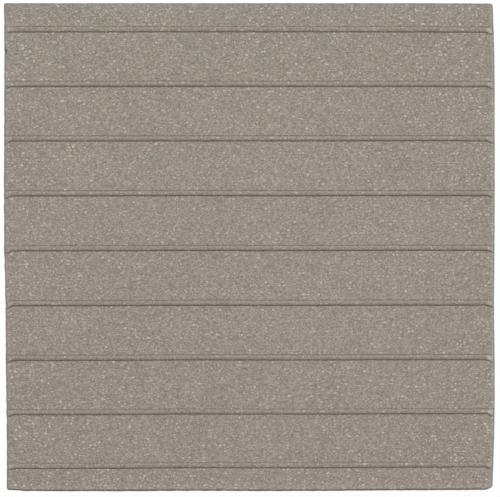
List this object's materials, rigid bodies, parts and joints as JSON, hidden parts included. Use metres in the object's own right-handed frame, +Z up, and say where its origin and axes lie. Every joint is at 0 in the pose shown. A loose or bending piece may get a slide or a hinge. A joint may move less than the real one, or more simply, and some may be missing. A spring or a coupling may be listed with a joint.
{
  "type": "anti-slip floor tile",
  "caption": "Square unglazed ceramic floor tile with raised parallel anti-slip ribs across its walking face and a keyed back for a mortar bed.",
  "frame": {"origin": "middle of the back, on the plane that the tile rests on", "axes": "+Z up, out of the walking face; +X along the ribs; -Y is the front of the tile, which the steep side of each rib faces"},
  "size_m": [0.148, 0.1472, 0.0099],
  "materials": {
    "stoneware": "unglazed, matt, warm grey with fine pale speckles"
  },
  "bodies": {
    "root": {"tile": "stoneware"}
  },
  "joints": []
}
